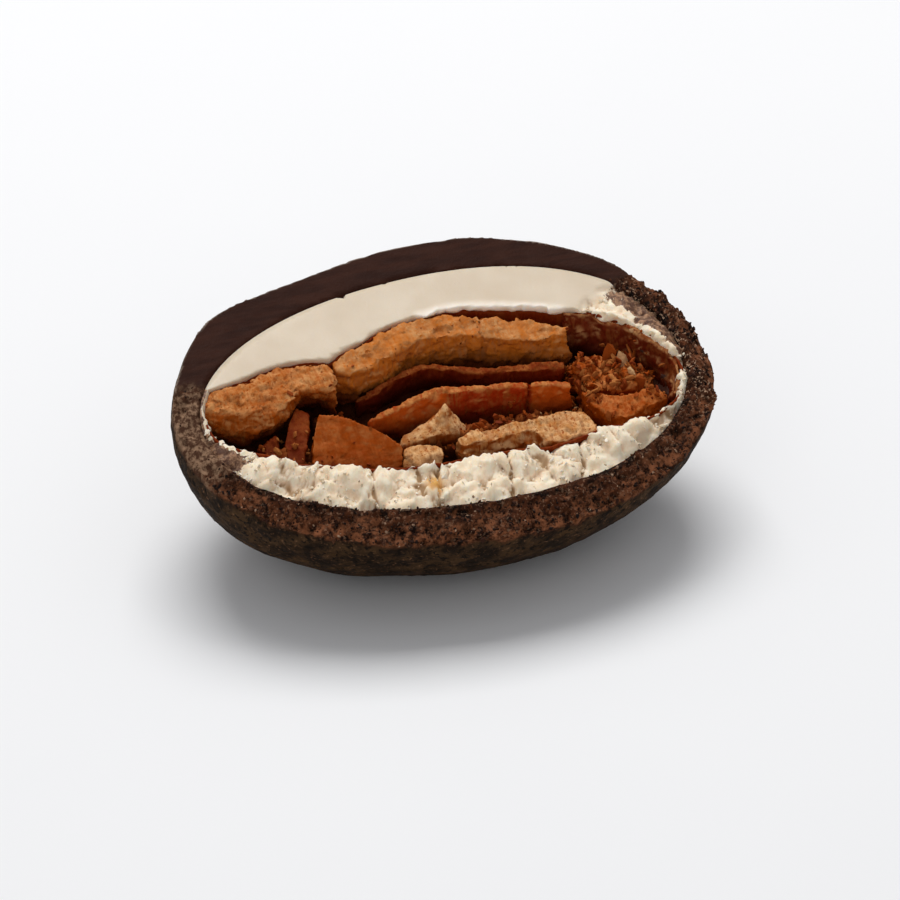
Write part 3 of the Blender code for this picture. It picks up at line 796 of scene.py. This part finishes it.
lobeBack = {
    "node": "kernel_lobe_back", "kind": "fibrousCocoaNib", "seed": 23.0,
    "jag": 0.12, "grain": 0.035, "striae": 0.075, "striaeSize": 0.26, "pitted": 0.3,
    "rows": [
    [(-4.55, 2.9, -0.15), (-4, 3.2, -0.05), (-2.8, 3.5, 0), (-1.6, 3.9, 0), (-0.5, 4.2, 0),
     (0.6, 4.3, 0), (1.6, 4.3, -0.05), (2.6, 4, -0.1), (3.6, 3.7, -0.15), (4.8, 3.2, -0.2),
     (6, 2.7, -0.2), (6.8, 2.1, -0.25)],
    [(-4.5, 2.4, -0.2), (-4, 2.1, -0.15), (-3.3, 2.1, -0.15), (-2.3, 2.4, -0.15),
     (-1.1, 2.8, -0.15), (-0.1, 3.1, -0.15), (0.6, 3.1, -0.15), (1.7, 3, -0.2),
     (2.8, 2.7, -0.25), (4.2, 2.1, -0.25), (5.5, 1.8, -0.25), (6.7, 1.8, -0.3)],
    [(-4.3, 2.3, -1.1), (-3.6, 2, -1.7), (-3, 2.1, -1.35), (-1.9, 2.3, -1), (-0.9, 2.8, -1.15),
     (0.2, 3, -1.05), (0.8, 3, -1.15), (1.9, 2.8, -1.75), (3.2, 2.4, -1.65), (4.4, 2, -1.3),
     (5.7, 1.6, -1.35), (6.9, 1.4, -1.8)]]}
makeNib("lobeBack", **lobeBack)

foldUpper = {
    "node": "kernel_fold_upper", "kind": "deepCocoaNib", "seed": 31.0,
    "jag": 0.07, "grain": 0.03, "rows": [
    [(-3.8, 1.5, -1.35), (-2.9, 1.8, -1.2), (-1.9, 2.1, -1.1), (-1.1, 2.3, -1),
     (-0.2, 2.4, -0.95), (0.6, 2.2, -0.95), (1.6, 1.7, -0.95), (2.9, 1.35, -0.95),
     (4.2, 1.1, -0.9), (5.3, 0.9, -0.85), (6.2, 0.7, -0.85)],
    [(-3.8, 1.3, -1.4), (-3, 1.4, -1.25), (-2, 1.8, -1.15), (-1.1, 2, -1.05), (-0.2, 2.1, -1),
     (0.6, 1.9, -1), (1.6, 1.4, -1), (2.9, 1, -1), (4.2, 0.7, -0.95), (5.3, 0.45, -0.9),
     (6.1, 0.3, -0.9)],
    [(-3.6, 1.1, -2.1), (-2.9, 1.2, -2.2), (-2, 1.6, -2.1), (-1, 1.9, -2), (-0.2, 2, -1.9),
     (0.7, 1.8, -1.6), (1.6, 1.3, -1.4), (2.9, 0.95, -1.4), (4.2, 0.65, -1.4), (5.3, 0.4, -1.4),
     (5.9, 0.2, -1.5)]]}
makeNib("foldUpper", **foldUpper)

foldMiddle = {
    "node": "kernel_fold_middle", "kind": "seedLeafFold", "seed": 43.0,
    "jag": 0.07, "grain": 0.02, "striae": 0.03, "cracks": (4.1,), "pitted": 0.2,
    "fresh": ((-4.0, 0.1), (4.0, 7.0)), "rows": [
    [(-3.9, -0.3, -1), (-3.2, 0, -0.9), (-2.4, 0.1, -0.8), (-1.6, 0.4, -0.7), (-0.8, 0.5, -0.6),
     (-0.1, 0.5, -0.55), (0.7, 0.25, -0.5), (1.8, 0.1, -0.5), (2.8, -0.15, -0.45),
     (3.9, -0.4, -0.45), (4.9, -0.6, -0.45), (5.8, -0.9, -0.5)],
    [(-3.8, -0.4, -1.05), (-3.1, -0.3, -0.95), (-2.3, -0.1, -0.85), (-1.5, 0.1, -0.75),
     (-0.7, 0.2, -0.65), (0, 0.1, -0.6), (0.7, -0.1, -0.55), (1.7, -0.15, -0.55),
     (2.8, -0.45, -0.5), (3.9, -0.7, -0.5), (4.9, -0.9, -0.5), (5.7, -1.2, -0.55)],
    [(-3.5, -0.5, -1.7), (-2.9, -0.5, -1.9), (-2.2, -0.6, -2), (-1.4, -0.7, -2.1),
     (-0.7, -0.9, -2.2), (0, -0.9, -2.3), (0.7, -0.8, -2.3), (1.7, -0.9, -2.3), (2.8, -1, -2.2),
     (3.8, -1.2, -2), (4.9, -1.3, -1.8), (5.9, -1.4, -1.7)]]}
makeNib("foldMiddle", **foldMiddle)

blockFront = {
    "node": "kernel_block_front", "kind": "foldedCocoaNib", "seed": 51.0,
    "jag": 0.05, "grain": 0.008, "pitted": 0.0, "granular": 0.35, "rows": [
    [(-6.3, 0.1, -0.2), (-5.7, -0.1, -0.25), (-5.1, -0.4, -0.3), (-4.4, -0.9, -0.4),
     (-3.7, -1.5, -0.5), (-3, -2.4, -0.75)],
    [(-6.8, -0.8, -0.75), (-6.2, -1, -0.8), (-5.5, -1.3, -0.85), (-4.8, -1.6, -0.9),
     (-4, -2.1, -0.95), (-3.1, -2.6, -1)],
    [(-7.2, -1.8, -1.3), (-6.6, -2.3, -1.4), (-5.8, -2.7, -1.45), (-5.1, -2.9, -1.5),
     (-4.2, -3, -1.5), (-3.2, -3.1, -1.35)]]}
makeNib("blockFront", **blockFront)

slabLeft = {
    "node": "kernel_slab_left", "kind": "deepCocoaNib", "seed": 61.0,
    "jag": 0.06, "grain": 0.02, "pitted": 0.2, "granular": 0.3, "rows": [
    [(-6.9, 1.3, -0.9), (-7.6, 0.4, -1), (-8, -0.5, -1.15), (-8.2, -1.3, -1.3), (-8.2, -2, -1.45)],
    [(-6.4, 0.8, -0.85), (-6.7, 0, -0.95), (-7.1, -0.8, -1.15), (-7.5, -1.6, -1.3),
     (-7.6, -2.4, -1.45)]]}
makeNib("slabLeft", **slabLeft)

slabFarLeft = {
    "node": "kernel_slab_far_left", "kind": "deepCocoaNib", "seed": 67.0,
    "jag": 0.06, "grain": 0.02, "pitted": 0.2, "granular": 0.3, "rows": [
    [(-9.3, -0.2, -1.35), (-9.1, -0.5, -1.35), (-9, -1, -1.5), (-9, -1.6, -1.6)],
    [(-8.2, 0.2, -1.2), (-8.3, -0.3, -1.3), (-8.5, -1.1, -1.45), (-8.5, -1.8, -1.6)]]}
makeNib("slabFarLeft", **slabFarLeft)

stripFront = {
    "node": "kernel_strip_front", "kind": "paleCocoaNib", "seed": 71.0,
    "striae": 0.03, "rows": [
    [(-0.4, -2.6, -0.7), (0.3, -2.4, -0.6), (1.3, -2.6, -0.5), (2.3, -2.6, -0.45),
     (3.3, -2.7, -0.4), (4.2, -2.6, -0.4), (5, -2.6, -0.4), (5.6, -2.8, -0.4), (6, -3.5, -0.5)],
    [(-0.4, -3, -0.75), (0.1, -3.1, -0.65), (1, -3.2, -0.55), (2.1, -3.2, -0.5),
     (3, -3.3, -0.45), (3.4, -4.1, -0.5), (4.1, -4.3, -0.45), (5.1, -4.2, -0.45),
     (5.9, -4.1, -0.5)],
    [(-0.4, -3.5, -1.5), (0.3, -3.6, -1.45), (1.2, -3.7, -1.45), (2.2, -3.8, -1.4),
     (3.1, -3.9, -1.3), (3.5, -4.2, -1), (4.2, -4.4, -0.9), (5.2, -4.3, -0.85), (5.9, -4.2, -0.8)]]}
makeNib("stripFront", **stripFront)

lobeRight = {
    "node": "kernel_lobe_right", "kind": "foldedCocoaNib", "seed": 83.0,
    "pitted": 0.4, "granular": 0.7, "rows": [
    [(6.2, -1.5, -0.6), (6.6, -1.8, -0.5), (7.1, -2.1, -0.5), (7.7, -2.4, -0.45),
     (8.3, -2.5, -0.4), (8.9, -2.4, -0.4), (9.5, -2.4, -0.45), (9.9, -2.8, -0.6)],
    [(6.2, -2.3, -0.6), (6.4, -2.9, -0.5), (6.8, -3.4, -0.5), (7.2, -3.6, -0.5),
     (7.8, -3.6, -0.5), (8.4, -3.4, -0.5), (9.1, -3.2, -0.55), (9.8, -3, -0.65)],
    [(6.4, -2.4, -1.5), (6.6, -3.1, -1.5), (7.1, -3.8, -1.3), (7.6, -4, -1.3), (8.1, -3.9, -1.3),
     (8.8, -3.7, -1.3), (9.4, -3.4, -1.3), (9.9, -3.1, -1.2)]]}
makeNib("lobeRight", **lobeRight)

crumbleRight = {
    "node": "kernel_crumble_right", "kind": "foldedCocoaNib",
    "seed": 91.0, "jag": 0.28, "grain": 0.10, "rows": [
    [(7, 0.9, -0.9), (7.5, 0.6, -0.9), (8.1, 0.3, -0.9), (8.8, 0, -0.85), (9.5, -0.3, -0.9),
     (9.9, -0.7, -1.1)],
    [(6.6, 0.3, -0.8), (7.1, -0.3, -0.75), (7.8, -0.7, -0.7), (8.6, -0.9, -0.75),
     (9.2, -1.1, -0.85), (9.8, -1.4, -1.1)],
    [(6.4, -0.9, -0.8), (6.9, -1.4, -0.75), (7.6, -1.6, -0.8), (8.2, -1.8, -0.8),
     (8.9, -1.9, -0.85), (9.6, -1.8, -1.1)]]}
makeNib("crumbleRight", **crumbleRight)

chipMiddle = {
    "node": "kernel_chip_middle", "kind": "paleCocoaNib", "seed": 97.0,
    "jag": 0.06, "grain": 0.02, "rows": [
    [(-1.6, -1, -1.4), (-0.8, -0.8, -0.9), (-0.3, -0.7, -0.35), (0.05, -1, -0.9),
     (0.5, -1.4, -1.4)],
    [(-2.6, -1.4, -1.25), (-1.5, -1.3, -1), (-0.65, -1.2, -0.7), (-0.1, -1.35, -0.95),
     (0.5, -1.6, -1.35)],
    [(-3, -2, -1.2), (-2.1, -2, -1.15), (-1.4, -1.9, -1.1), (-0.7, -1.9, -1.15),
     (0.2, -1.9, -1.4)]]}
makeNib("chipMiddle", **chipMiddle)

chipFront = {
    "node": "kernel_chip_front", "kind": "paleCocoaNib", "seed": 103.0,
    "jag": 0.08, "grain": 0.03, "rows": [
    [(-3, -2.4, -0.9), (-2.2, -2.5, -0.75), (-1.3, -2.85, -0.8)],
    [(-3.1, -2.8, -0.9), (-2.4, -3.1, -0.85), (-1.45, -3.3, -0.85)],
    [(-3.3, -3.3, -1.2), (-2.6, -3.6, -1.2), (-1.65, -3.75, -1.25)]]}
makeNib("chipFront", **chipFront)

skinRight = {
    "node": "bean_skin_right", "kind": "driedSeedSkin", "seed": 109.0,
    "jag": 0.09, "grain": 0.03, "striae": 0.04, "striaeSize": 0.5, "pitted": 0.2,
    "rows": [
    [(6.9, 3, -0.15), (8.1, 2.6, -0.15), (8.8, 2, -0.15), (9.5, 1.5, -0.15), (10.1, 0.8, -0.15),
     (10.55, 0, -0.15), (10.85, -0.7, -0.15), (10.95, -1.5, -0.15), (10.7, -2.4, -0.2),
     (10.2, -3.1, -0.3)],
    [(6.9, 2.88, -0.2), (8.04, 2.47, -0.25), (8.7, 1.87, -0.25), (9.35, 1.37, -0.25),
     (9.95, 0.7, -0.25), (10.4, -0.05, -0.25), (10.68, -0.75, -0.25), (10.78, -1.5, -0.25),
     (10.55, -2.35, -0.3), (10.1, -3, -0.4)],
    [(6.9, 2.3, -1.6), (7.9, 1.9, -1.7), (8.4, 1.4, -1.8), (8.95, 1, -1.9), (9.5, 0.4, -1.9),
     (9.95, -0.2, -1.9), (10.2, -0.9, -1.9), (10.3, -1.5, -1.9), (10.1, -2.2, -1.8),
     (9.8, -2.7, -1.5)]]}
makeNib("skinRight", **skinRight)


# Seed skin
# A dark, ragged ribbon of seed skin that lines the white layer's hollow; it also stands in for the
# shade in the gap under the lip.

lining = {"inset": 0.05, "top": -0.16, "foot": -2.3, "thick": 0.09, "lean": 0.40, "lowered": 0.05,
          "ragged": ((0.9, 0.13, 41.0), (0.25, 0.08, 42.0)),      # noises: size, how far, seed
          "uneven": (0.4, 0.03, 43.0), "perEdge": 8, "rows": 9}


def makeLining():
    edge = [Vector((*spot, 0.0)) for spot in hollow["edge"]]
    piece = addGrid("skinLining", lining["perEdge"] * len(edge), lining["rows"] - 1)
    ring = edge[-1:] + edge + edge[:2]
    middle = Vector((*hollow["middle"], 0.0))
    for vertex in piece.data.vertices:
        share, down = (vertex.co.x + 1.0) / 2.0, (1.0 - vertex.co.y) / 2.0
        where = share * len(edge)
        first = min(int(where), len(edge) - 1)
        spot = through(ring[first:first + 4], (1.0 + where - first) / 3.0)
        away = (middle - spot).normalized()
        spot += away * (lining["inset"] + lining["lean"] * down ** 1.5)
        spot.z = lining["top"] + (lining["foot"] - lining["top"]) * down
        vertex.co = spot
    bpy.ops.object.mode_set(mode="EDIT")
    bpy.ops.mesh.select_all(action="SELECT")
    bpy.ops.mesh.remove_doubles(threshold=mergeDistance)
    bpy.ops.mesh.normals_make_consistent(inside=False)
    bpy.ops.object.mode_set(mode="OBJECT")
    spots = places(piece)
    top = smoothStep(-0.6, lining["top"], spots[:, 2])
    spots[:, 2] += top * (rippled(spots, *lining["ragged"]) - lining["lowered"])
    size, far, seed = lining["uneven"]
    for k in (0, 1):
        spots[:, k] += far * ripple(spots, size, seed + k) * (1.0 - top)
    move(piece, spots)
    apply(piece, "SOLIDIFY", thickness=lining["thick"], offset=0.0)
    none = np.zeros(len(piece.data.vertices))
    mark(piece, grainy=none + 0.25, pit=none, arris=none, fresh=none,
         # painted shade, darker lower down
         sunken=0.8 * smoothStep(-0.5, -1.6, places(piece)[:, 2]))
    settle(piece, nibMaterials["deepCocoaNib"], "seed_skin")


makeLining()


# Floor of the cracks
# Broken nib that rises between the pieces, low and dark down in the narrow cracks: the dark is
# painted shade.

nibFloor = {
    "voxel": 0.10, "faces": ((0.85, 0.42, 121.0), (0.38, 0.26, 122.0)),     # size, how far, seed
    "grit": (0.2, 0.08, 123.0),
    # where it rises: middle, spread and height
    "mounds": [((2.2, -1.75), (3.6, 0.6), 0.95), ((8.2, -0.6), (1.6, 1.3), 0.85),
               ((-8.0, -1.2), (1.5, 1.0), 0.75), ((-2.2, -1.9), (1.0, 0.6), 0.75),
               ((-5.4, 0.8), (0.8, 0.7), 0.40), ((8.6, 1.0), (1.4, 0.7), 0.35)]}


def makeNibFloor():
    piece = copyOfNode("kernel_base", "nibFloor")
    remesh(piece, nibFloor["voxel"], 1)
    spots, facing = places(piece), normals(piece)
    top = smoothStep(0.3, 0.8, facing[:, 2]) * (spots[:, 2] > -3.2)
    rise = 0.0 * top
    for middle, spread, height in nibFloor["mounds"]:
        off = (spots[:, :2] - np.array(middle)) / np.array(spread)
        rise = np.maximum(rise, height * np.exp(-np.sum(off ** 4, axis=1)))
    rough = sum(far * brokenFaces(spots, size, seed)[0] for size, far, seed in nibFloor["faces"])
    rough = rough + rippled(spots, nibFloor["grit"])
    spots[:, 2] += top * (rise + (0.35 + rise) * rough)
    move(piece, spots)
    mark(piece, grainy=0.3 + 0.7 * smoothStep(0.5, 0.9, normals(piece)[:, 2]),
         # painted highlight on the raised edges
         arris=0.5 * smoothStep(0.1, 0.3, rough) * smoothStep(-1.9, -1.2, spots[:, 2]),
         # painted shade down in the cracks
         sunken=0.92 * smoothStep(-1.35, -2.1, spots[:, 2]), pit=0.0 * top, fresh=0.0 * top)
    settle(piece, nibMaterials["nibBelowTheCracks"], "kernel_red", "kernel_base")
    nibs.append(piece)


makeNibFloor()


# Crumbs
# Broken bits, true to size, that lie where the layers tore: 20 faces each, joined per kind.

def crumbShape(seed, flatness):
    bpy.ops.mesh.primitive_ico_sphere_add(subdivisions=1, radius=0.5)
    sample = bpy.context.object
    corners = places(sample)
    corners *= np.random.default_rng(int(10 * seed)).uniform(0.55, 1.25, (len(corners), 1))
    corners[:, 2] *= flatness
    faces = np.array([face.vertices[:] for face in sample.data.polygons])
    bpy.data.objects.remove(sample)
    return corners, faces


def crumbsAt(name, spots, sizes, seed, material, slotName, flatness=0.7, lengthen=0.8):
    chance = random.Random(seed)
    shapes = [crumbShape(seed + 1.3 * k, flatness) for k in range(4)]
    corners, faces, tones, count = [], [], [], 0
    for spot, size in zip(spots, sizes):
        points, sides = shapes[chance.randrange(4)]
        turn = Euler([chance.uniform(0.0, 2.0 * math.pi) for _ in range(3)]).to_matrix()
        stretch = np.array([1.0 + chance.uniform(0.0, lengthen), 1.0, 1.0])
        corners.append((points * stretch * size) @ np.array(turn).T + spot)
        faces.append(sides + count)
        tones += [chance.random()] * len(points)
        count += len(points)
    mesh = bpy.data.meshes.new(name)
    mesh.from_pydata(np.concatenate(corners).tolist(), [], np.concatenate(faces).tolist())
    piece = bpy.data.objects.new(name, mesh)
    bpy.context.scene.collection.objects.link(piece)
    mark(piece, tone=tones)
    settle(piece, material, slotName, crisp=True)


def crumbMaterial(name, hollowColour, bodyColour, lightColour, speckColour, specks):
    # The same stuff as the layer it fell from, each bit lit and toned on its own.
    material, tree, shader = newMaterial(name, IOR=1.46, Specular_IOR_Level=0.15)
    colour = layered(tree, hollowColour,
                     (bodyColour, {"attribute": "tone", "low": 0.0, "high": 0.5}),
                     (lightColour, {"attribute": "tone", "low": 0.5, "high": 0.9}),
                     (speckColour, {"attribute": "tone", "low": specks, "high": specks + 0.01}),
                     (hollowColour, patches(0.1, 0.65, 0.35, 3.0, most=0.35)))
    dress(tree, shader, colour, {"size": 0.15, "least": 0.62, "most": 0.88}, None,
          {"size": 0.08, "roughness": 0.7}, 0.02)
    return material


def onSurface(surface, seed, count, small, large, sunk, upright, lowest):
    weight = surface["torn"] * (surface["facing"][:, 2] > upright)
    weight = weight * (surface["spots"][:, 2] > lowest)
    chance = np.random.default_rng(seed)
    picks = chance.choice(len(weight), size=count, p=weight / weight.sum())
    sizes = small + (large - small) * chance.random(count) ** 2.2
    away = surface["facing"][picks] * (sizes * (0.5 - sunk))[:, None]
    return surface["spots"][picks] + away, sizes


# upright is how level the surface under a crumb is at least, and lowest how far down it may lie.
coatCrumbs = {"seed": 5, "count": 1500, "small": 0.08, "large": 0.25, "sunk": 0.58,
              "upright": 0.6, "lowest": -0.7}
coatBits = crumbMaterial("couvertureCrumbs", "#140805", "#381C0F", "#603A24", "#AD8C72", 0.955)
crumbsAt("coatCrumbs", *onSurface(coatSurface, **coatCrumbs), coatCrumbs["seed"], coatBits,
         "dark_chocolate", lengthen=0.35)

whiteCrumbs = {"seed": 7, "count": 420, "small": 0.06, "large": 0.24, "sunk": 0.3,
               "upright": 0.0, "lowest": -1.0}
whiteBits = crumbMaterial("whiteChocolateCrumbs", "#E4D2B4", "#F4E8D2", "#FFF8EA", "#7A5030", 0.97)
crumbsAt("whiteCrumbs", *onSurface(whiteSurface, **whiteCrumbs), whiteCrumbs["seed"], whiteBits,
         "white_chocolate")

# Where the kernel's bits lie: middle, spread, how many, smallest and largest, in millimetres.
nibCrumbs = {"seed": 11, "heaps": [
    ((1.6, -1.75), (2.8, 0.45), 120, 0.10, 0.42), ((-8.0, -1.3), (1.2, 0.8), 80, 0.10, 0.40),
    ((8.2, -0.7), (1.3, 0.8), 150, 0.10, 0.46), ((6.35, -0.3), (0.3, 1.2), 80, 0.12, 0.42),
    ((8.8, 0.8), (1.0, 0.4), 50, 0.10, 0.35), ((-1.2, -2.3), (1.2, 0.5), 24, 0.06, 0.22),
    ((-4.6, 0.2), (0.4, 1.0), 40, 0.10, 0.40), ((0.5, -2.1), (2.5, 0.3), 40, 0.08, 0.25),
    ((-7.2, -1.8), (1.6, 0.8), 26, 0.06, 0.22), ((2.8, -4.3), (3.2, 0.2), 60, 0.08, 0.28),
    ((6.2, -2.6), (0.3, 0.8), 50, 0.12, 0.45), ((0.0, 0.6), (4.0, 1.6), 40, 0.05, 0.15),
    ((9.6, -2.9), (0.5, 0.5), 40, 0.10, 0.35), ((1.0, 3.2), (6.0, 0.6), 30, 0.05, 0.15)]}
nibFlakes = {"seed": 13, "heaps": [
    ((8.4, -0.5), (0.9, 0.7), 9, 0.55, 1.00), ((6.4, -0.5), (0.25, 0.8), 4, 0.45, 0.70),
    ((9.3, 0.1), (0.25, 0.25), 2, 0.80, 0.95)]}
keptClean = {"share": 0.85, "pieces": ("chipMiddle", "chipFront", "blockFront", "foldMiddle",
                                       "foldUpper", "slabLeft", "stripFront")}


def dropped(seed, heaps):       # straight down onto the cut, as far as the hollow's edge
    chance = random.Random(seed)
    graph = bpy.context.evaluated_depsgraph_get()
    under = [BVHTree.FromObject(piece, graph) for piece in nibs]
    down = (cutToFrame.to_3x3() @ Vector((0.0, 0.0, -1.0))).normalized()
    spots, sizes = [], []
    for middle, spread, count, small, large in heaps:
        for _ in range(count):
            u, v = chance.gauss(middle[0], spread[0]), chance.gauss(middle[1], spread[1])
            size = small + (large - small) * chance.random() ** 2.0
            if ovalLevel(np.array([[u, v]]), hollowOval)[0] > 0.97:
                continue
            above = cutToFrame @ Vector((u, v, 1.0))
            hits = [(tree.ray_cast(above, down)[3], piece.name) for tree, piece in zip(under, nibs)]
            hits = [hit for hit in hits if hit[0] is not None]
            if not hits:
                continue
            reach, name = min(hits)
            if name in keptClean["pieces"] and chance.random() < keptClean["share"]:
                continue
            spots.append((u, v, 1.0 - reach / millimetre + 0.25 * size))
            sizes.append(size)
    return np.array(spots), sizes


nibBits = crumbMaterial("cocoaNibCrumbs", "#742A06", "#9E480E", "#BC763A", "#D8AC7A", 0.975)
crumbsAt("nibCrumbs", *dropped(**nibCrumbs), nibCrumbs["seed"], nibBits, "kernel_orange",
         flatness=0.6)
crumbsAt("nibFlakes", *dropped(**nibFlakes), nibFlakes["seed"], nibBits, "kernel_orange",
         flatness=0.28, lengthen=0.7)
